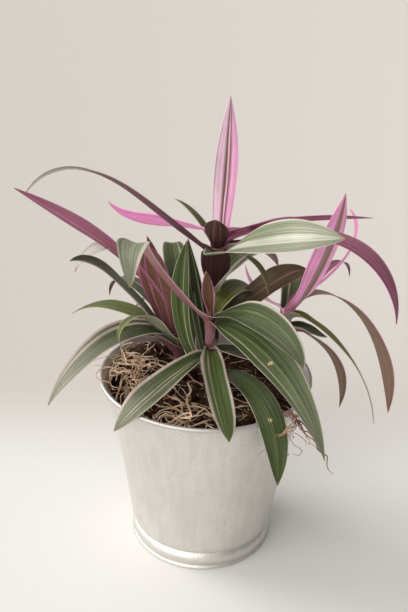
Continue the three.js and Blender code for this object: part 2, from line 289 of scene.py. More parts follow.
def soil_finish(name, dark, light):
    f = Finish(name)
    where = f.place()
    lump = f.cloud(where, 130.0, 5.0, 0.65)
    grit = f.cloud(where, 900.0, 3.0)
    colour = f.blend(lump.rise(0.35, 0.68), dark, light)
    colour = f.blend(grit.rise(0.62, 0.74) * 0.6, colour, tuple(c * 1.9 for c in light))
    normal = f.bump(lump + grit * 0.6, 0.0012, 0.9)
    return f.surface(
        base_color=colour, roughness=0.86 + grit * 0.1, normal=normal, specular_ior_level=0.08
    )


def root_finish(name, dark, light):
    f = Finish(name)
    where = f.place()
    patch = f.cloud(where, 110.0, 3.0)
    fuzz = f.cloud(where, 1600.0, 2.0)
    colour = f.blend(patch.rise(0.35, 0.65), dark, light)
    normal = f.bump(fuzz, 0.0002, 0.6)
    return f.surface(
        base_color=f.blend(fuzz * 0.4, colour, dark), roughness=0.6 + fuzz * 0.2, normal=normal,
        specular_ior_level=0.2, subsurface_weight=0.1, subsurface_scale=0.002,
    )


def stem_finish():
    f = Finish("stem skin")
    where = f.place()
    x, y, z = f.parts(where)
    streak = f.cloud(f.vector(x * 900.0, y * 900.0, z * 40.0), 1.0, 3.0)
    blotch = f.cloud(where, 160.0, 3.0)
    colour = f.blend(streak.rise(0.35, 0.65), (0.3, 0.13, 0.13), (0.42, 0.25, 0.2))
    colour = f.blend(blotch.rise(0.5, 0.75) * 0.6, colour, (0.3, 0.32, 0.14))
    normal = f.bump(streak, 0.0003, 0.5)
    return f.surface(
        base_color=colour, roughness=0.42 + blotch * 0.2, normal=normal,
        subsurface_weight=0.12, subsurface_scale=0.002,
    )


SCAR = (0.62, 0.44, 0.27)
DRY = (0.42, 0.27, 0.17)  # the blades' tips
DEEP_BROWN = (0.055, 0.035, 0.016)


def leaf_finish(name, dullness, glow, deep, fresh, line, band, blush, foot_colour):
    """One face of a leaf. Colours, in turn: its dark stripes, its body, its fine lines, its
    broad bands, what the bands and margins redden to, and its foot. `glow` is the daylight
    that comes through a thin pale leaf."""
    f = Finish(name)
    u, v, _ = f.parts(f.node("ShaderNodeUVMap", {"uv_map": "UVMap"}))
    u = u * 2.0 - 1.0
    seed, dusk, foot = f.trait("growth")
    tone, redness, whiteness = f.trait("hue")
    left_margin, right_margin, lines = f.trait("edges")
    fade_and_sheen, lean, deep_brown_foot = f.trait("change")
    scar_u, scar_v, scarred = f.trait("scar")
    middles = f.trait("band_middles")
    halves = f.trait("band_halves")

    patch = f.cloud(f.vector(u * 0.8, v * 4.0, seed * 5.0), 1.0, 2.0)
    streak = f.cloud(f.vector(u * 5.0 + seed * 17.0, v * 0.8, seed * 7.0), 1.0, 3.0)
    vein = f.cloud(f.vector(u * 17.0 + seed * 9.0, v * 0.9, seed * 11.0), 1.0, 2.0, 0.6)
    thread = f.cloud(f.vector(u * 45.0, v * 1.5, seed * 3.0), 1.0, 1.0)
    drift = (patch - 0.5) * 0.2 + (streak - 0.5) * 0.1

    shade = (streak - 0.5) * 2.0 + (vein - 0.5) * 1.4 + tone
    body = f.blend(shade + (patch - 0.5) * 0.5, deep, fresh)
    body = f.blend(vein.rise(0.5, 0.72) * lines * 0.5, body, line)
    body = f.blend(thread.rise(0.48, 0.7) * lines * 0.45, body, line)

    bands = None
    for middle, half in zip(middles, halves):
        inside = 1 - abs(u + drift - middle).rise(half * 0.45, half * 1.3 + 0.01)
        bands = inside if bands is None else bands.most(inside)
    bands = bands * (patch * 0.9 + vein * 0.9 - 0.15)
    rosy = redness + u * lean
    light = f.blend(whiteness + (vein - 0.5) * 1.1 + (patch - 0.5) * 0.8, line, band)
    light = f.blend(rosy * (patch * 0.8 + 0.55), light, blush)
    colour = f.blend(bands, body, light)
    # The tip pales to the band colour: partly the leaf's own paler tip, partly a painted sheen.
    paler_and_sheen = v.rise(0.35, 0.95) * fade_and_sheen * (0.5 + patch)
    colour = f.blend(paler_and_sheen * (0.35 + vein), colour, band)

    margin_side = u + drift * 0.4
    near_left = margin_side.rise(1 - left_margin * 1.45, 1 - left_margin * 0.6)
    near_right = (0 - margin_side).rise(1 - right_margin * 1.45, 1 - right_margin * 0.6)
    edge = near_left.most(near_right) * (0.6 + patch * 0.6)
    edge_colour = f.blend(rosy * 0.7 + (vein - 0.5) * 0.8 + 0.1, band, blush)
    colour = f.blend(edge, colour, edge_colour)
    rim = abs(u).rise(0.93, 0.985)
    colour = f.blend(rim * 0.55, colour, f.blend(rosy, line, blush))
    # Painted shade: along the midrib's crease in the lower blade the colour darkens towards the
    # dark stripes.
    crease = (1 - abs(u).rise(0.0, 0.05)) * (1 - v.rise(0.5, 0.9))
    colour = f.blend(crease * 0.3, colour, deep)

    shadow = dusk * (streak + 0.3) + (1 - (v + drift).rise(foot * 0.5, foot * 1.15 + 0.02))
    foot_shade = f.blend(vein.rise(0.45, 0.65) * 0.6, foot_colour, blush)
    # The feet of some leaves darken to a near-black brown.
    foot_shade = f.blend(deep_brown_foot, foot_shade, DEEP_BROWN)
    colour = f.blend(shadow * 0.9, colour, foot_shade)
    torn = abs(u - scar_u + v * 3.0 - scar_v * 3.0) * 2.4 + abs(v - scar_v) * 40.0 + thread * 0.9
    colour = f.blend((1 - torn.rise(0.75, 1.0)) * scarred, colour, SCAR)
    dry = v.rise(0.96, 1.0) * 0.7 + f.cloud(f.place(), 420.0, 2.0).rise(0.72, 0.8) * 0.3
    colour = f.blend(dry, colour, DRY)

    ridges = vein * 0.9 + streak * 0.4 + thread * 0.45 - crease * 0.8
    normal = f.bump(ridges + f.cloud(f.place(), 260.0, 2.0) * 0.5, 0.0009, 0.9)
    return f.surface(
        base_color=colour, roughness=dullness + vein * 0.14 + patch * 0.06, normal=normal,
        specular_ior_level=0.33, emission_color=colour, emission_strength=glow,
        subsurface_weight=0.08, subsurface_scale=0.0004, subsurface_radius=(1.0, 0.7, 0.5),
    )


CREAM = (0.66, 0.63, 0.52)
ROSE = (0.62, 0.38, 0.38)
MAGENTA = (0.62, 0.14, 0.38)
MAUVE_FOOT = (0.26, 0.1, 0.12)

# The colours of each face, in the order that leaf_finish takes them in.
LEAF_COLOURS = {
    "green leaf": [
        (0.018, 0.03, 0.004), (0.1, 0.152, 0.034), (0.3, 0.37, 0.18), CREAM, ROSE, MAUVE_FOOT,
    ],
    "red leaf underside": [
        (0.13, 0.05, 0.065), (0.26, 0.13, 0.13), (0.4, 0.26, 0.24), (0.6, 0.46, 0.42),
        (0.62, 0.27, 0.36), MAUVE_FOOT,
    ],
    "olive leaf": [
        (0.05, 0.056, 0.012), (0.21, 0.25, 0.03), (0.4, 0.45, 0.16), (0.6, 0.62, 0.4),
        (0.4, 0.22, 0.18), (0.24, 0.16, 0.08),
    ],
    "pale leaf": [
        (0.13, 0.16, 0.07), (0.33, 0.37, 0.24), (0.52, 0.55, 0.42), (0.76, 0.72, 0.64),
        (0.78, 0.58, 0.56), (0.3, 0.32, 0.2),
    ],
    "pale leaf underside": [
        (0.26, 0.28, 0.15), (0.5, 0.52, 0.37), (0.66, 0.67, 0.52), (0.84, 0.81, 0.7),
        (0.68, 0.46, 0.46), (0.36, 0.24, 0.2),
    ],
    "pink leaf": [
        (0.1, 0.07, 0.035), (0.33, 0.11, 0.15), (0.62, 0.36, 0.43), (0.88, 0.64, 0.76),
        (0.72, 0.22, 0.49), (0.25, 0.07, 0.09),
    ],
    "pink leaf underside": [
        (0.3, 0.1, 0.11), (0.54, 0.24, 0.27), (0.68, 0.4, 0.4), (0.8, 0.55, 0.56),
        (0.68, 0.22, 0.38), MAUVE_FOOT,
    ],
    "mauve leaf": [
        (0.14, 0.07, 0.03), (0.28, 0.13, 0.09), (0.5, 0.24, 0.24), (0.6, 0.3, 0.42),
        MAGENTA, (0.13, 0.035, 0.03),
    ],
    "purple leaf": [
        (0.13, 0.035, 0.06), (0.4, 0.11, 0.19), (0.62, 0.3, 0.4), (0.6, 0.34, 0.42),
        (0.55, 0.13, 0.3), (0.14, 0.05, 0.04),
    ],
    "purple leaf underside": [
        (0.15, 0.045, 0.07), (0.4, 0.12, 0.2), (0.6, 0.3, 0.4), (0.54, 0.28, 0.38),
        (0.56, 0.16, 0.34), (0.16, 0.05, 0.07),
    ],
    "dusky leaf": [
        (0.09, 0.1, 0.045), (0.3, 0.33, 0.2), (0.58, 0.6, 0.44), (0.74, 0.73, 0.62),
        (0.46, 0.22, 0.26), (0.13, 0.04, 0.065),
    ],
    "dusky leaf underside": [
        (0.12, 0.07, 0.06), (0.3, 0.22, 0.17), (0.46, 0.38, 0.3), (0.6, 0.5, 0.42),
        (0.46, 0.22, 0.26), (0.17, 0.055, 0.09),
    ],
    "brown leaf": [
        (0.15, 0.11, 0.055), (0.34, 0.21, 0.14), (0.48, 0.36, 0.26), (0.6, 0.42, 0.4),
        (0.55, 0.22, 0.33), (0.2, 0.14, 0.07),
    ],
    "brown leaf underside": [
        (0.16, 0.11, 0.06), (0.34, 0.21, 0.15), (0.48, 0.34, 0.26), (0.55, 0.38, 0.36),
        (0.55, 0.2, 0.33), (0.2, 0.12, 0.07),
    ],
    "dark leaf": [
        (0.026, 0.012, 0.004), (0.1, 0.065, 0.02), (0.18, 0.12, 0.06), (0.38, 0.2, 0.14),
        (0.42, 0.16, 0.14), (0.022, 0.008, 0.004),
    ],
    "dark leaf underside": [
        (0.035, 0.012, 0.008), (0.1, 0.04, 0.03), (0.16, 0.08, 0.055), (0.3, 0.14, 0.14),
        (0.32, 0.11, 0.14), (0.03, 0.009, 0.01),
    ],
}
GLOW = {"pink leaf": 0.42, "mauve leaf": 0.1}  # the thin leaves that daylight shines through
SKINS = {  # upper face, lower face and material slot of each kind of leaf
    "striped": ("green leaf", "red leaf underside", "leaf_striped"),
    "olive": ("olive leaf", "pale leaf underside", "leaf_striped"),
    "pale": ("pale leaf", "pale leaf underside", "leaf_pale"),
    "draped": ("green leaf", "pink leaf underside", "leaf_pink"),
    "pink": ("pink leaf", "pink leaf", "leaf_pink"),
    "mauve": ("mauve leaf", "mauve leaf", "leaf_pink"),
    "purple": ("purple leaf", "purple leaf underside", "leaf_purple"),
    "dusky": ("dusky leaf", "dusky leaf underside", "leaf_purple"),
    "brown": ("brown leaf", "brown leaf underside", "leaf_purple"),
    "dark": ("dark leaf", "dark leaf underside", "leaf_purple"),
}


def leaf_finishes():
    """The finish of every face by its name. Undersides are duller."""
    return {
        name: leaf_finish(
            name, 0.42 if "underside" in name else 0.25, GLOW.get(name, 0.0), *colours
        )
        for name, colours in LEAF_COLOURS.items()
    }


# ---- Ways of making a piece ----
def shape(piece, kind, **settings):
    """Adds a modifier to a piece and applies it."""
    bpy.context.view_layer.objects.active = piece
    modifier = piece.modifiers.new(kind.lower(), kind)
    for setting, value in settings.items():
        setattr(modifier, setting, value)
    bpy.ops.object.modifier_apply(modifier=modifier.name)


def hand_over(piece, name, finishes, slot, *nodes):
    """Names a finished piece, gives it its finishes, and seats it in the frame."""
    piece.name = piece.data.name = name
    for finish in finishes:
        piece.data.materials.append(finish)
    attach(piece, "root")
    if nodes:
        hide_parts(*nodes)
    bpy.ops.object.select_all(action="DESELECT")


def ring_by_ring(stations, sides):
    """A closed round shape drawn up from a disc through stations of (x, y, z, radius)."""
    x, y, z, radius = stations[0]
    bpy.ops.mesh.primitive_circle_add(
        vertices=sides, radius=radius * MM, fill_type="NGON", location=(x * MM, y * MM, z * MM)
    )
    piece = bpy.context.object
    bpy.ops.object.transform_apply(location=True)
    bpy.ops.object.mode_set(mode="EDIT")
    for next_x, next_y, next_z, next_radius in stations[1:]:
        move = ((next_x - x) * MM, (next_y - y) * MM, (next_z - z) * MM)
        bpy.ops.mesh.extrude_region_move(TRANSFORM_OT_translate={"value": move})
        grow = next_radius / radius
        bpy.ops.transform.resize(
            value=(grow, grow, 1), center_override=(next_x * MM, next_y * MM, next_z * MM)
        )
        x, y, z, radius = next_x, next_y, next_z, next_radius
    bpy.ops.mesh.select_all(action="SELECT")
    bpy.ops.mesh.normals_make_consistent(inside=False)
    bpy.ops.object.mode_set(mode="OBJECT")
    bpy.ops.object.shade_smooth_by_angle(angle=math.radians(50))
    return piece


# ---- Pot ----
def make_pot(zinc):
    """One pressed sheet: foot ring, seam, tapered wall, rolled rim and the wall's inside."""
    foot, half = FOOT_RADIUS, POT_HEIGHT / 2
    foot_inside = foot - 2.5
    outside = [
        (foot_inside, 0.0), (foot + 0.2, 0.0), (foot + 0.7, 0.4), (foot + 0.7, 1.1),
        (foot + 0.2, 1.7), (foot - 0.2, 2.1), (foot - 0.1, 2.6), (foot + 0.4, 3.4),
        (foot + 0.8, 4.6), (foot + 0.9, 5.8), (foot + 0.7, 7.2), (foot + 0.2, 8.5),
        (foot - 0.6, 9.5), (foot - 1.3, 10.1), (foot - 1.3, 10.6), (foot - 0.6, 11.2),
        (foot + 0.2, 12.0), (foot + 0.6, 13.2), (foot + 1.3, 17.0),
    ]
    steps = 8
    wall = [
        (foot + 0.6 + (WAIST_RADIUS - foot - 0.6) * (z - 12) / (half - 12), z)
        for z in (22, 32, 42, half)
    ]
    wall += [
        (WAIST_RADIUS + (MOUTH_RADIUS - WAIST_RADIUS) * step / steps,
         half + (POT_HEIGHT - 3.4 - half) * step / steps)
        for step in range(1, steps + 1)
    ]
    bead = [
        (RIM_RADIUS - RIM_ROLL + RIM_ROLL * math.cos(math.radians(angle)),
         POT_HEIGHT - RIM_ROLL + RIM_ROLL * math.sin(math.radians(angle)))
        for angle in range(-130, 171, 20)
    ]
    inside = [(56.2, 104.6), (55.9, 103.4), (WAIST_RADIUS - WALL, half), (foot_inside + 1, 14)]
    floor = [(foot_inside - 0.5, 1.6), (1.0, 1.6)]
    base = [(1.0, 0.4), (foot_inside - 2, 0.4)]
    profile = base + outside + wall + bead + inside + floor
    piece = ring_by_ring([(0, 0, z, radius) for radius, z in profile], POT_SIDES)
    hand_over(piece, "galvanised_pot", [zinc], "zinc", "pot_wall", "pot_base")


# ---- Soil ----
def soil_height(radius):
    """The level of the soil, which rises and falls a little in rings round the pot's middle."""
    return SOIL_LEVEL - SOIL_SWELL + SOIL_SWELL * math.cos(radius / 11)


def heap(x, y):
    """How much higher the soil lies where it's banked up behind the left shoot."""
    away = math.dist((x, y), HEAP_PLACE)
    return HEAP_HEIGHT * math.exp(-(away / HEAP_SPREAD) ** 2 / 2)


def make_soil(peat):
    """A tapered plug with a ringed top, lumpy at two sizes, and a heap at its back."""
    stations = [(0, 0, 70, 47.0), (0, 0, 90, 52.5), (0, 0, 93.4, SOIL_RADIUS)]
    for step in range(1, SOIL_RINGS):
        radius = SOIL_RADIUS * (1 - step / SOIL_RINGS)
        stations.append((0, 0, soil_height(radius), radius))
    piece = ring_by_ring(stations, SOIL_SIDES)
    shape(piece, "SUBSURF", subdivision_type="SIMPLE", levels=1, render_levels=1)
    for name, size, height in (("hollows", 16, 5.5), ("lumps", 5.5, 3)):
        lumps = bpy.data.textures.new(name, "CLOUDS")
        lumps.noise_scale = size * MM
        lumps.noise_depth = 3
        top = piece.vertex_groups.new(name=name)
        surface = [v.index for v in piece.data.vertices if v.co.z > SOIL_SURFACE * MM]
        top.add(surface, 1.0, "REPLACE")
        shape(
            piece, "DISPLACE", texture=lumps, strength=height * MM, mid_level=0.5,
            direction="Z", vertex_group=name,
        )
    for vertex in piece.data.vertices:
        if vertex.co.z > SOIL_SURFACE * MM:
            vertex.co.z += heap(vertex.co.x / MM, vertex.co.y / MM) * MM
    hand_over(piece, "soil", [peat], "soil", "soil")


def make_crumbs(peat, draw):
    """Loose lumps of peat over the soil: one lump, copied at many sizes and turns."""
    bpy.ops.mesh.primitive_ico_sphere_add(subdivisions=2, radius=MM)
    piece = bpy.context.object
    lump = piece.data.copy()
    for vertex in lump.vertices:
        vertex.co *= 0.7 + 0.5 * draw.random()
    crumbs = bmesh.new()
    for _ in range(520):
        radius = (SOIL_RADIUS - 1.5) * math.sqrt(draw.random())
        angle = draw.uniform(0, 2 * math.pi)
        size = draw.choice((0.5, 0.7, 0.9, 1.2, 1.6, 2.2)) * draw.uniform(0.7, 1.2)
        x, y = radius * math.cos(angle), radius * math.sin(angle)
        z = soil_height(radius) + heap(x, y) + draw.uniform(-0.6, 1.4)
        place = Vector((x, y, z)) * MM
        turn = draw.uniform(0, FULL_TURN)
        spin = Matrix.Rotation(turn, 4, Vector((draw.random(), draw.random(), 1)))
        flat = Matrix.Diagonal((size * draw.uniform(0.8, 1.5), size, size * 0.75, 1))
        crumb = lump.copy()
        crumb.transform(Matrix.Translation(place) @ spin @ flat)
        crumbs.from_mesh(crumb)
    crumbs.to_mesh(piece.data)
    hand_over(piece, "soil_crumbs", [peat], "soil")


# ---- Roots and fibres ----
def make_strands(name, strands, thickness, sides, finish, *nodes):
    """Fine strands, each drawn through its points and thinning to both ends."""
    line = bpy.data.curves.new(name, "CURVE")
    line.dimensions = "3D"
    line.bevel_depth = thickness * MM
    line.bevel_resolution = sides
    line.resolution_u = 3
    line.use_fill_caps = True
    for points, gauge in strands:
        strand = line.splines.new("NURBS")
        last = len(points) - 1
        strand.points.add(last)
        strand.order_u = 4
        strand.use_endpoint_u = True
        for i, point in enumerate(points):
            swelling = math.sin(math.pi * (0.15 + 0.7 * i / last))
            strand.points[i].co = (*(Vector(point) * MM), 1)
            strand.points[i].radius = gauge * (0.35 + 0.65 * swelling)
    piece = bpy.data.objects.new(name, line)
    bpy.context.scene.collection.objects.link(piece)
    bpy.context.view_layer.objects.active = piece
    piece.select_set(True)
    bpy.ops.object.convert(target="MESH")
    piece = bpy.context.object
    bpy.ops.object.shade_smooth()
    hand_over(piece, name, [finish], "root", *nodes)


def lies_on_soil(point, lift):
    """Keeps a strand's point on or over the soil and inside the pot."""
    radius = math.hypot(point.x, point.y)
    if radius > SOIL_RADIUS and point.z < POT_HEIGHT + 1:
        point.x *= SOIL_RADIUS / radius
        point.y *= SOIL_RADIUS / radius
    ground = soil_height(min(radius, SOIL_RADIUS)) + heap(point.x, point.y)
    point.z = max(point.z, ground + lift)
    return point


def curly(draw, start, steps, stride, curl, lift=0.6):
    """A strand that wanders in loops from where it starts, and comes down on the soil."""
    point = Vector(start)
    curl *= draw.choice((0.3, 0.6, 1.0, 1.2))
    heading = draw.uniform(0, 2 * math.pi)
    climb = draw.uniform(-0.2, 0.9)
    bend = draw.uniform(-curl, curl)
    points = []
    for _ in range(steps):
        points.append(lies_on_soil(point.copy(), lift))
        heading += bend + draw.gauss(0, curl * 0.5)
        bend = 0.85 * bend + draw.gauss(0, curl * 0.35)
        climb = climb * 0.85 - 0.25 * draw.random() + draw.gauss(0, 0.28)
        point += Vector((math.cos(heading), math.sin(heading), math.sin(climb))) * stride
        point.z = min(point.z, SOIL_LEVEL + 14)
    return points


def around(draw, middle, spread):
    """A random place near a middle."""
    return [draw.gauss(m, s) for m, s in zip(middle, spread)]


def tangle(draw, count, middle, spread, longest, stride, curl, gauges):
    """Curly strands that start near one place, each with its gauge."""
    return [
        (curly(draw, around(draw, middle, spread), draw.randint(8, longest), stride, curl),
         draw.uniform(*gauges))
        for _ in range(count)
    ]


def make_roots(draw, tan, brown):
    """Two tangles that lie on the soil, and one that spills over the rim at the right."""
    left = tangle(draw, 74, (-41, -2, 104), (6, 11, 4), 26, 2.6, 0.7, (0.45, 1.25))
    make_strands("root_tangle_left", left, 0.34, 1, tan, "roots_left")
    front = tangle(draw, 36, (-7, -38, 98), (9, 5, 2), 20, 2.4, 0.8, (0.5, 1.6))
    make_strands("root_tangle_front", front, 0.36, 1, tan, "roots_front")
    right = []
    for _ in range(18):
        path = [
            Vector(around(draw, (35, -30, 99), (3, 4, 1))),
            Vector(around(draw, (41, -39, 106), (2, 3, 1.5))),
            Vector(around(draw, (46, -45, 107), (2, 2, 1.5))),
        ]
        heading = draw.uniform(-1.6, 0.9)
        for _ in range(draw.randint(5, 22)):
            heading += draw.gauss(0, 0.75)
            ahead, aside = math.cos(heading) * 1.9, math.sin(heading) * 1.3 - 0.2
            point = path[-1] + Vector((ahead, aside, draw.uniform(-2.9, 0.7)))
            reach = math.hypot(point.x, point.y)
            clear = RIM_RADIUS + 1.5 if point.z > 100 else MOUTH_RADIUS + 1
            if reach < clear:
                point.x *= clear / reach
                point.y *= clear / reach
            path.append(point)
        right.append((path, draw.uniform(0.4, 1.2)))
    make_strands("root_tangle_right", right, 0.3, 1, brown, "roots_right")


def make_fibres(draw, tan, dark):
    """Short straw-like fibres all through the top of the soil."""
    for name, count, finish, length in (
        ("light_fibres", 190, tan, 5), ("dark_fibres", 320, dark, 6),
    ):
        strands = []
        for _ in range(count):
            radius = (SOIL_RADIUS - 3) * math.sqrt(draw.random())
            angle = draw.uniform(0, 2 * math.pi)
            start = (radius * math.cos(angle), radius * math.sin(angle), soil_height(radius) + 0.8)
            strands.append((curly(draw, start, length, 2.4, 0.5, 0.5), draw.uniform(0.4, 1.0)))
        make_strands(name, strands, 0.3, 0, finish)


# ---- Stems ----
SHOOTS = {
    "front": {"radius": 2.6, "path": [(3, 2, 90), (2, 1, 120), (1, 1, 148)]},
    "left": {"radius": 3.0, "path": [(-13, 14, 88), (-16, 13, 112), (-18, 12, 131)]},
    "crown": {"radius": 3.4, "path": [(5, 24, 86), (4, 25, 140), (5, 26, 187)]},
    "right": {"radius": 2.8, "path": [(35, 24, 88), (43, 28, 116), (50, 31, 139)]},
}
STEM_STEPS = 26


def stem_at(shoot, z):
    """The point on a stem's middle line at a height."""
    low, middle, high = (Vector(point) for point in SHOOTS[shoot]["path"])
    start, end = (low, middle) if z < middle.z else (middle, high)
    return start.lerp(end, (z - start.z) / (end.z - start.z))


def make_stems(skin):
    """Each stem swells a little at its joints and ends in a blunt tip among the young leaves."""
    for name, shoot in SHOOTS.items():
        foot = shoot["path"][0][2]
        top = max(leaf["at"] for leaf in LEAVES[name].values()) - 4
        stations = []
        for step in range(STEM_STEPS + 1):
            z = foot + (top - foot) * step / STEM_STEPS
            point = stem_at(name, z)
            joint = 0.22 * max(0.0, math.cos(step * 1.3)) ** 6
            taper = 1 - 0.12 * step / STEM_STEPS
            stations.append((point.x, point.y, z, 0.6 * shoot["radius"] * (taper + joint)))
        tip = stem_at(name, top)
        stations.append((tip.x, tip.y, top + 3.0, shoot["radius"] * 0.25))
        stations.append((tip.x, tip.y, top + 5.0, shoot["radius"] * 0.08))
        piece = ring_by_ring(stations, 24)
        hand_over(piece, f"stem_of_{name}", [skin], "stem", f"stem_{name}")


# ---- Leaves ----
# A leaf starts `at` a height on its stem and heads `to` a compass angle, in degrees from +X.
# It climbs at the angle `rise`, which falls to `droop` at the tip, late or early by the power
# `late`, while the heading swings by `sweep`. `turn` rolls the blade about its midrib, and
# `twist` rolls it further towards the tip. The blade is widest at the share `widest` of its
# length, and `neck` is its width where it starts, as a part of that. `blunt` fills out its
# point, and `flare` keeps it narrow until it nears its widest.
# `tone` goes from dark to fresh green, `red` from cream bands to rosy ones, and `white` from
# light green bands to white ones. `lines` is how strong the fine light lines are. Each band is
# its middle and half width, where -1 and 1 are the leaf's edges, and `margin` is the width of
# the pale edges, or of the one at 1 and the one at -1. `dusk` is how much the sheath's colour
# spreads over the blade and `foot` how far along it, and `deep_brown_foot` browns it.
# `fade_and_sheen` pales the tip, partly to its own paler colour and partly as a painted sheen,
# `lean` reddens the side at
# 1, and `scar` is where the leaf is torn, across and along it.
# A leaf that `rests` lies over the pot's rim. PLAIN_LEAF fills in what a leaf doesn't say.
PLAIN_LEAF = dict(
    late=1, sweep=0, turn=0, twist=0, neck=0.5, widest=0.4, blunt=2.1, flare=1, rests=None,
    skin="striped", tone=0.3, red=0.3, white=0.3, lines=0.3, bands=[], margin=0.12,
    fade_and_sheen=0, foot=0.14, dusk=0, deep_brown_foot=0, lean=0, scar=None,
)
FRONT_LEAVES = {
    "big_right": dict(
        at=138, to=-45, rise=20, droop=-70, late=0.8, turn=30, twist=40,
        long=105, wide=19, blunt=1.4,
        tone=0.35, red=0.2, white=0, lines=0.4, bands=[(0.62, 0.04)], margin=(0.03, 0.07), fade_and_sheen=0.2,
        scar=(0.3, 0.5),
    ),
    "arch_right": dict(
        at=141, to=-65, rise=35, droop=-79, late=2, sweep=35, turn=30, twist=60,
        long=83, wide=15, neck=0.25, widest=0.6, blunt=2.6, flare=3,
        tone=0.2, red=0.1, white=0, lines=0.35, margin=(0.03, 0.16), fade_and_sheen=0.1,
    ),
    "over_rim": dict(
        at=123, to=-88, rise=0, droop=-35, late=1.2, sweep=15, turn=-10, twist=-20,
        long=69, wide=15, widest=0.5, blunt=5, flare=0.5,
        tone=0.85, white=0.8, lines=0.45, bands=[(0.36, 0.04)], margin=(0.28, 0.2), foot=0.06,
    ),
    "lower_left": dict(
        at=118, to=-130, rise=15, droop=-32, late=0.5, sweep=-8, turn=10, twist=-20,
        long=72, wide=18, widest=0.5, blunt=3, rests="rim",
        red=0.4, white=1, lines=0.6, bands=[(0, 0.04), (-0.3, 0.03)], margin=(0.22, 0.1), fade_and_sheen=0.3,
    ),
    "drip_right": dict(
        at=102, to=-48, rise=48, droop=-89, late=0.9, sweep=-26,
        long=93, wide=16, widest=0.6, rests="rim",
        tone=0.42, red=0.1, white=0, lines=0.5, margin=0.04, scar=(0, 0.66),
    ),
    "flopped": dict(
        at=139, to=-147, rise=49, droop=-130, late=6, sweep=66, turn=30,
        long=126, wide=15, neck=0.34, widest=0.8, blunt=1.2, flare=30,
        skin="draped", tone=0.6, red=0.1, margin=(0, 0.3), fade_and_sheen=0.35,
    ),
    "spear": dict(
        at=144, to=120, rise=88, droop=80,
        long=22, wide=8,
        skin="mauve", tone=-0.1, red=0.6, white=0.1, lines=0.5, margin=0.16,
    ),
    "upright": dict(
        at=108, to=-175, rise=15, droop=101, late=0.3, turn=-105,
        long=81, wide=10, neck=0.4, widest=0.65, blunt=1.8,
        tone=0.6, red=0.05, white=0.7, lines=0.9, bands=[(0.35, 0.05)], margin=0.07,
    ),
    "round_back": dict(
        at=134, to=65, rise=55, droop=-60, sweep=-15, turn=-40, twist=80,
        long=60, wide=16, widest=0.45, blunt=2.4,
        skin="olive", tone=0.45, red=0.1, white=0.1, margin=0.16,
    ),
    "under_right": dict(
        at=121, to=-43, rise=22, droop=-26, late=1.4, sweep=13,
        long=48, wide=13,
        tone=0, red=0.5, lines=0.4, bands=[(0.4, 0.06)], margin=0.08,
    ),
    "tall_green": dict(
        at=104, to=148, rise=63, droop=-67, late=5, sweep=-60, twist=-40,
        long=94, wide=15, widest=0.7,
        tone=0.45, red=0.1, white=0.4, lines=0.6, bands=[(0.5, 0.05)], margin=0.06,
    ),
    "sheath_left": dict(
        at=100, to=170, rise=70, droop=85,
        long=28, wide=11,
        skin="pale", tone=0.4, red=0.05, white=0.8, lines=0.6, bands=[(0, 0.2)], margin=0.2,
    ),
}
LEFT_LEAVES = {
    "pink_fan": dict(
        at=116, to=-128, rise=72, droop=68, late=1.4, twist=80,
        long=74, wide=16, neck=0.4, widest=0.7, blunt=2.6,
        skin="mauve", tone=0.15, red=1, white=0, lines=0.8, bands=[(0.4, 0.05), (-0.25, 0.04)],
        foot=0.4, dusk=0.2, deep_brown_foot=0.45,
    ),
    "pink_back": dict(
        at=120, to=180, rise=80, droop=74, late=1.4, turn=-10, twist=-40,
        long=64, wide=12, widest=0.5,
        skin="mauve", tone=0.1, red=1, white=0.6, lines=0.6, bands=[(-0.5, 0.4)], margin=0.1,
        foot=0.3,
    ),
    "long_left": dict(
        at=120, to=-137, rise=64, droop=-55, late=0.7, turn=-20,
        long=99, wide=15,
        tone=0.25, red=0.45, white=0.8, lines=0.4, bands=[(0.5, 0.12)], margin=(0.2, 0.1), fade_and_sheen=0.6,
        foot=0.2, deep_brown_foot=0.7,
    ),
    "far_left": dict(
        at=123, to=-128, rise=83, droop=27, late=0.6, sweep=-52, turn=-10, twist=60,
        long=132, wide=9, widest=0.7, blunt=1.6,
        skin="purple", tone=0.7, red=0.5, lines=0.8, bands=[(0.3, 0.08)], scar=(0.2, 0.42),
    ),
    "dark_left": dict(
        at=120, to=-159, rise=53, droop=5, late=4, sweep=47, turn=-10,
        long=101, wide=16, blunt=1.8,
        tone=0.35, red=0.5, white=0.4, margin=(0.06, 0.4), foot=0.25, deep_brown_foot=0.6,
    ),
    "cream_left": dict(
        at=124, to=-168, rise=72, droop=-69, late=3, sweep=36, turn=10,
        long=98, wide=12, widest=0.6,
        skin="pale", tone=1, red=0.1, white=1, lines=0.4, bands=[(0, 0.6)], margin=0.2, fade_and_sheen=0.8,
    ),
    "olive_left": dict(
        at=121, to=149, rise=25, droop=-40, late=1.4, sweep=10,
        long=74, wide=12, blunt=3,
        skin="olive", red=0, white=0, lines=0.2, margin=0.05, deep_brown_foot=0.5,
    ),
    "curl": dict(
        at=118, to=-120, rise=50, droop=-145, late=4, sweep=-15, turn=10,
        long=69, wide=9, widest=0.5, blunt=1.6,
        skin="olive", red=0, white=0.5, lines=0.4, bands=[(0, 0.08)], deep_brown_foot=0.6,
    ),
    "under_left": dict(
        at=112, to=-139, rise=53, droop=-26, late=1.8,
        long=48, wide=15,
        white=0.2, lines=0.4, bands=[(0.7, 0.12)], margin=0.1, foot=0.15, deep_brown_foot=0.8,
    ),
    "low_pale": dict(
        at=118, to=-172, rise=42, droop=-45,
        long=54, wide=9,
        skin="pale", tone=0.2, red=0.1, white=0.4, lines=0.4, bands=[(0, 0.2)], deep_brown_foot=0.6,
    ),
    "back_left": dict(
        at=129, to=132, rise=27, droop=-88, late=2.5,
        long=73, wide=10,
        tone=0.2, white=0.2, lines=0.4, bands=[(0.2, 0.06)], margin=0.1,
    ),
    "back": dict(
        at=116, to=100, rise=45, droop=-50,
        long=72, wide=13,
        tone=0.4, white=0.6, lines=0.5, bands=[(0.2, 0.08), (-0.4, 0.05)],
    ),
}
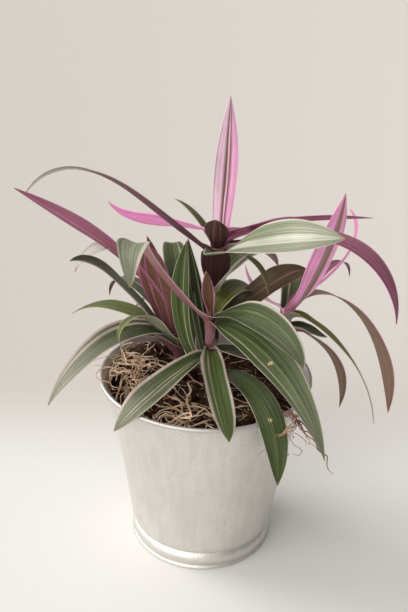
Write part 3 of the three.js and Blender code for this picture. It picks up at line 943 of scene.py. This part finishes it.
CROWN_LEAVES = {
    "tall_pink": dict(
        at=164, to=79, rise=70, droop=80, late=0.5, turn=-20, twist=60,
        long=90, wide=13, widest=0.55,
        skin="pink", red=0.35, white=1.2, bands=[(-0.56, 0.42), (0.16, 0.07), (0.7, 0.3)],
        margin=0.05, foot=0.1, lean=0.5,
    ),
    "pale_right": dict(
        at=169, to=-81, rise=27, droop=14, late=1.6, sweep=56, turn=20, twist=30,
        long=105, wide=30, widest=0.55, blunt=2.8, flare=0.6,
        skin="pale", tone=0.1, red=0, white=0.5, lines=0.45, bands=[(-0.2, 0.22)], margin=0.05,
        fade_and_sheen=0.25, foot=0.08,
    ),
    "long_left": dict(
        at=168, to=-142, rise=41, droop=-48, late=4.8, sweep=10, turn=10,
        long=141, wide=11, neck=0.7, widest=0.5, blunt=1.6,
        skin="dusky", red=0.1, white=0.6, lines=0.5, bands=[(0.1, 0.1)], margin=0.1, fade_and_sheen=0.3,
        foot=0.8, dusk=0.2,
    ),
    "arch_right": dict(
        at=171, to=-9, rise=22, droop=-90, late=2.3, sweep=-47, turn=10, twist=-20,
        long=126, wide=13, widest=0.6, blunt=1.8,
        skin="purple", tone=0.35, red=1, white=0.1, lines=1, bands=[(-0.25, 0.06), (0.4, 0.05)],
        margin=0.05,
    ),
    "heart": dict(
        at=171, to=-112, rise=75, droop=100,
        long=19, wide=15, widest=0.6, blunt=3,
        skin="dark", tone=0.2, red=0.6, white=0, lines=0.2, bands=[(0.1, 0.03), (-0.4, 0.02)],
        margin=0.03, foot=0.3, dusk=0.3,
    ),
    "bract": dict(
        at=146, to=-95, rise=74, droop=82,
        long=30, wide=17, widest=0.75, blunt=4,
        skin="dark", tone=0, white=0, lines=0.1, margin=0.03, foot=0.4, dusk=0.5,
    ),
    "magenta_left": dict(
        at=179, to=125, rise=-5, droop=56, late=5, sweep=57, turn=20, twist=60,
        long=77, wide=12, neck=0.7, widest=0.5, blunt=1.8,
        skin="pink", tone=0.8, red=1, bands=[(0, 0.8)], margin=0.2,
    ),
    "small_back": dict(
        at=174, to=127, rise=38, droop=-3, late=1.3,
        long=43, wide=5,
        skin="olive", tone=-0.1, red=0.7, white=0.1, margin=0.2,
    ),
    "pink_right": dict(
        at=180, to=19, rise=15, droop=-1, late=0.5, sweep=-18, turn=-30, twist=-40,
        long=87, wide=7, blunt=1.5,
        skin="purple", tone=0.8, red=0.7, white=0.8, lines=0.4, bands=[(0, 0.6)], margin=0.15,
    ),
    "pink_low": dict(
        at=175, to=18, rise=21, droop=11, late=1.2,
        long=42, wide=9, widest=0.5,
        skin="purple", tone=1, red=0.8, white=0.6, lines=0.4, bands=[(0.3, 0.3)], margin=0.15,
    ),
    "cream_up": dict(
        at=146, to=-72, rise=54, droop=47, sweep=30, turn=40,
        long=44, wide=12,
        skin="pale", tone=1, red=0, white=1, bands=[(0, 0.7)], margin=0.02, foot=0.05,
    ),
    "thin_down": dict(
        at=166, to=-38, rise=54, droop=-89, late=0.9, sweep=5, turn=-30, twist=40,
        long=44, wide=7, blunt=1.8,
        skin="olive", tone=0.4, white=0, lines=0.2, margin=0.06, dusk=0.3,
    ),
    "dark_right": dict(
        at=129, to=-11, rise=39, droop=-58, late=4.5, sweep=46, turn=30,
        long=66, wide=19, widest=0.55,
        skin="dark", tone=0.6, red=1, bands=[(0, 0.05)], margin=0.04,
    ),
    "dark_back": dict(
        at=100, to=-168, rise=71, droop=85, late=0.5, turn=-100,
        long=80, wide=13,
        tone=0.05, red=0.1, white=0.4, lines=0.7, bands=[(0.6, 0.07), (-0.2, 0.04)], margin=0.08,
    ),
    "back_left": dict(
        at=125, to=130, rise=20, droop=-50,
        long=85, wide=15,
        tone=0.4, white=0.6, lines=0.5, bands=[(0.3, 0.1)],
    ),
    "back": dict(
        at=140, to=90, rise=30, droop=-70,
        long=85, wide=16,
        tone=0.45, white=0.7, lines=0.5, bands=[(-0.3, 0.08), (0.35, 0.05)],
    ),
    "back_right": dict(
        at=150, to=60, rise=25, droop=-50,
        long=88, wide=14,
        tone=0.35, red=0.4, white=0.6, lines=0.5, bands=[(0.1, 0.08)],
    ),
}
RIGHT_LEAVES = {
    "pink_up": dict(
        at=133, to=-34, rise=62, droop=86, late=1.3, sweep=7, turn=-20,
        long=80, wide=19, widest=0.6, blunt=1.6,
        skin="pink", tone=-0.05, red=0.75, white=0.2, lines=0.5, bands=[(-0.6, 0.36), (0.62, 0.36)],
        margin=0.05, foot=0.2,
    ),
    "thin_down": dict(
        at=131, to=-42, rise=26, droop=-82, late=0.5, sweep=47, twist=-20,
        long=90, wide=9, widest=0.3, blunt=1.3,
        skin="olive", tone=0.55, white=0.1, margin=0.1,
    ),
    "mauve_down": dict(
        at=135, to=53, rise=37, droop=-89, late=0.5, sweep=-90, turn=10, twist=-60,
        long=140, wide=10, widest=0.7,
        skin="brown", tone=0.6, red=1, margin=(0.14, 0.1),
    ),
    "grey_down": dict(
        at=123, to=23, rise=-30, droop=-103, late=1.6, turn=-10, twist=-20,
        long=84, wide=8, widest=0.6, blunt=1.8,
        skin="brown", red=0.2, white=0.1, lines=0.4, margin=0.06,
    ),
    "short_right": dict(
        at=121, to=-2, rise=-4, droop=-16,
        long=24, wide=17,
        red=0.35, white=0.6, margin=(0.2, 0.05),
    ),
    "magenta_curl": dict(
        at=138, to=16, rise=41, droop=12, late=0.5, sweep=90, turn=-50,
        long=94, wide=7, widest=0.5,
        skin="pink", tone=0.9, red=1, bands=[(0, 0.7)], margin=0.15,
    ),
    "pink_left": dict(
        at=133, to=125, rise=-15, droop=79, late=1.6, sweep=9,
        long=46, wide=6,
        skin="pink", tone=0.6, red=0.4, white=0.8, bands=[(0, 0.6)], margin=0.15,
    ),
    "small_back": dict(
        at=136, to=49, rise=26, droop=-91, late=3,
        long=69, wide=7,
        skin="purple", tone=0.5, red=0.5, lines=0.4,
    ),
    "back": dict(
        at=128, to=80, rise=40, droop=-60,
        long=80, wide=14,
        tone=0.4, white=0.6, lines=0.5, bands=[(-0.2, 0.08)],
    ),
}
LEAVES = {
    "front": FRONT_LEAVES, "left": LEFT_LEAVES, "crown": CROWN_LEAVES, "right": RIGHT_LEAVES,
}


def smooth(value, low, high):
    """0 at low and 1 at high, with a soft start and end."""
    t = min(max((value - low) / (high - low), 0.0), 1.0)
    return t * t * (3 - 2 * t)


def sheath_radius(shoot, leaf):
    """How far a leaf's sheath stands off its stem's middle: outside the sheaths it covers."""
    covered = [
        other for other in LEAVES[shoot].values() if 0 < other["at"] - leaf["at"] < SHEATH
    ]
    return 0.55 * SHOOTS[shoot]["radius"] + 0.3 + 0.22 * min(len(covered), 4)


def blade_line(shoot, leaf):
    """The middle line of the blade alone, from the stem to the tip."""
    to, rise, droop = leaf["to"], leaf["rise"], leaf["droop"]
    outward = Vector((math.cos(math.radians(to)), math.sin(math.radians(to)), 0))
    point = stem_at(shoot, leaf["at"]) + outward * (SHOOTS[shoot]["radius"] + SEAT)
    points = [point.copy()]
    for step in range(LEAF_STEPS):
        t = (step + 0.5) / LEAF_STEPS
        climb = math.radians(rise + (droop - rise) * t ** leaf["late"])
        heading = math.radians(to + leaf["sweep"] * t)
        flat = math.cos(climb)
        ahead = Vector((flat * math.cos(heading), flat * math.sin(heading), math.sin(climb)))
        point += ahead * leaf["long"] / LEAF_STEPS
        points.append(point.copy())
    return points


def leaf_line(shoot, leaf):
    """A leaf's whole middle line, as (point, how far past the sheath, how far along the blade)."""
    radius = sheath_radius(shoot, leaf)
    heading = math.radians(leaf["to"])
    outward = Vector((math.cos(heading), math.sin(heading), 0)) * radius
    blade = blade_line(shoot, leaf)
    joined = max(2, round(BEND / leaf["long"] * LEAF_STEPS))
    away = (blade[joined + 1] - blade[joined - 1]).normalized()
    top = leaf["at"] - 2 - 3 * math.cos(math.radians(max(leaf["rise"], 0)))
    line = []
    for step in range(8):
        below = SHEATH * (1 - step / 8)
        line.append((stem_at(shoot, top - below) + outward, -below, 0.0))
    start = stem_at(shoot, top) + outward
    lead = BEND * 0.45
    corners = [start, start + Vector((0, 0, lead)), blade[joined] - away * lead, blade[joined]]
    for step in range(9):
        t = step / 9
        point = (
            corners[0] * (1 - t) ** 3 + corners[1] * 3 * t * (1 - t) ** 2
            + corners[2] * 3 * t * t * (1 - t) + corners[3] * t ** 3
        )
        line.append((point, BEND * t, joined / LEAF_STEPS * t))
    for step in range(joined, LEAF_STEPS + 1):
        past = BEND + (step - joined) * leaf["long"] / LEAF_STEPS
        line.append((blade[step], past, step / LEAF_STEPS))
    return line


def even_rows(line):
    """The same line at evenly spaced rows."""
    lengths = [0.0]
    for here, after in zip(line, line[1:]):
        lengths.append(lengths[-1] + (after[0] - here[0]).length)
    rows = []
    piece = 0
    for row in range(LEAF_ROWS + 1):
        wanted = lengths[-1] * row / LEAF_ROWS
        while piece < len(line) - 2 and lengths[piece + 1] < wanted:
            piece += 1
        share = (wanted - lengths[piece]) / max(lengths[piece + 1] - lengths[piece], 1e-9)
        here, after = line[piece], line[piece + 1]
        rows.append((
            here[0].lerp(after[0], share),
            here[1] + (after[1] - here[1]) * share,
            here[2] + (after[2] - here[2]) * share,
        ))
    return rows


def blade_width(leaf, t):
    """The blade's width along its length, as a part of its widest."""
    widest, neck = leaf["widest"], leaf["neck"]
    if t < widest:
        return neck + (1 - neck) * math.sin(math.pi / 2 * t / widest) ** leaf["flare"]
    return max(1 - ((t - widest) / (1 - widest)) ** leaf["blunt"], 0.02)


def over_rim(point):
    """Brings a point of a blade that crosses the rim forward, until the blade lies on the bead."""
    out = math.hypot(point.x, point.y) - (RIM_RADIUS - RIM_ROLL)
    high = point.z - (POT_HEIGHT - RIM_ROLL)
    sunk = RIM_ROLL + LEAF_THICKNESS + RIM_GAP - (out + high) / math.sqrt(2)
    past = (out - high) / math.sqrt(2)
    bend = max(sunk, 0) / FORWARD_LIFT * math.exp(-(past / RIM_REACH) ** 2)
    return point + FORWARD * bend


def lay_leaf(mesh, shoot, leaf, draw):
    """Moves each row of a flat strip to its place: rolled round the stem, then opening out."""
    rows = even_rows(leaf_line(shoot, leaf))
    radius = sheath_radius(shoot, leaf)
    half_wide = leaf["wide"] / 2
    clasp = min(2.5 * radius, max(1.5 * half_wide, 5.0))
    heading = math.radians(leaf["to"])
    side = Vector((math.sin(heading), -math.cos(heading), 0))
    waves, phase, sway = draw.uniform(1.5, 3.0), draw.uniform(0, FULL_TURN), draw.uniform(-5, 5)
    frames = []
    for row, (point, past, t) in enumerate(rows):
        before, after = rows[max(row - 1, 0)][0], rows[min(row + 1, LEAF_ROWS)][0]
        ahead = (after - before).normalized()
        side = (side - ahead * side.dot(ahead)).normalized()
        opened = smooth(past, -2, 16)
        roll = leaf["turn"] + (leaf["twist"] + sway) * t
        roll *= smooth(past, 0, 0.2 * leaf["long"])
        across = Matrix.Rotation(math.radians(roll), 3, ahead) @ side
        half = clasp + (half_wide * blade_width(leaf, t) - clasp) * opened
        half *= 0.55 + 0.45 * smooth(past, -SHEATH - 1, -SHEATH + 4)
        clasping = math.exp(-(max(past, 0) / 7.5) ** 2)
        curl = 1 / OPEN_CURL + (1 / radius - 1 / OPEN_CURL) * clasping
        frames.append((point, across, across.cross(ahead), half, curl, opened))
    for vertex in mesh.vertices:
        row = round((vertex.co.y + 1) / 2 * LEAF_ROWS)
        point, across, up, half, curl, opened = frames[row]
        reach = vertex.co.x * half
        wave = 0.05 * half * vertex.co.x ** 2 * math.sin(
            waves * FULL_TURN * row / LEAF_ROWS + phase + (1.4 if reach > 0 else 0)
        )
        lift = (1 - math.cos(curl * reach)) / curl + (0.11 * abs(reach) + wave) * opened
        place = point + across * math.sin(curl * reach) / curl + up * lift
        vertex.co = (over_rim(place) if leaf["rests"] else place) * MM


def set_trait(mesh, name, numbers):
    """Stores up to three numbers on every point of a leaf, for its finish to read."""
    numbers = (list(numbers) + [0, 0, 0])[:3]
    trait = mesh.attributes.new(name, "FLOAT_VECTOR", "POINT")
    trait.data.foreach_set("vector", numbers * len(mesh.vertices))


def set_traits(mesh, leaf, seed):
    """Stores what the leaf's finish needs to know about it."""
    margins = leaf["margin"] if isinstance(leaf["margin"], tuple) else (leaf["margin"],) * 2
    set_trait(mesh, "growth", (seed, leaf["dusk"], leaf["foot"]))
    set_trait(mesh, "hue", (leaf["tone"], leaf["red"], leaf["white"]))
    set_trait(mesh, "edges", (*margins, leaf["lines"]))
    set_trait(mesh, "change", (leaf["fade_and_sheen"], leaf["lean"], leaf["deep_brown_foot"]))
    set_trait(mesh, "scar", (*leaf["scar"], 1) if leaf["scar"] else ())
    set_trait(mesh, "band_middles", [middle for middle, half in leaf["bands"]])
    set_trait(mesh, "band_halves", [half for middle, half in leaf["bands"]])


def make_leaves(finishes, draw):
    """One flat strip of squares, copied for each leaf, laid in its place and thickened."""
    bpy.ops.mesh.primitive_grid_add(x_subdivisions=LEAF_COLUMNS, y_subdivisions=LEAF_ROWS, size=2)
    strip = bpy.context.object
    for shoot, leaves in LEAVES.items():
        for name, own_traits in leaves.items():
            leaf = PLAIN_LEAF | own_traits
            piece = strip.copy()
            piece.data = strip.data.copy()
            bpy.context.scene.collection.objects.link(piece)
            lay_leaf(piece.data, shoot, leaf, draw)
            set_traits(piece.data, leaf, draw.random())
            piece.data.polygons.foreach_set("use_smooth", [True] * len(piece.data.polygons))
            upper, lower, slot = SKINS[leaf["skin"]]
            faces = [finishes[upper], finishes[lower]]
            hand_over(piece, f"leaf_{shoot}_{name}", faces, slot, f"{shoot}_{name}")
            shape(piece, "SOLIDIFY", thickness=LEAF_THICKNESS * MM, offset=-1, material_offset=1)
            shape(piece, "SUBSURF", levels=1, render_levels=1)
    bpy.data.objects.remove(strip)


# ---- Making it all ----
add_camera()
add_daylight()
add_floor()

peat = soil_finish("peat", (0.014, 0.007, 0.004), (0.1, 0.055, 0.033))
tan_root = root_finish("tan root", (0.5, 0.33, 0.2), (0.92, 0.74, 0.56))
brown_root = root_finish("brown root", (0.13, 0.06, 0.04), (0.52, 0.33, 0.23))
dark_fibre = root_finish("dark fibre", (0.03, 0.014, 0.009), (0.14, 0.07, 0.04))

make_pot(zinc_finish())
make_soil(peat)
make_crumbs(peat, random.Random(4))
make_roots(random.Random(7), tan_root, brown_root)
make_fibres(random.Random(9), tan_root, dark_fibre)
make_stems(stem_finish())
make_leaves(leaf_finishes(), random.Random(2))
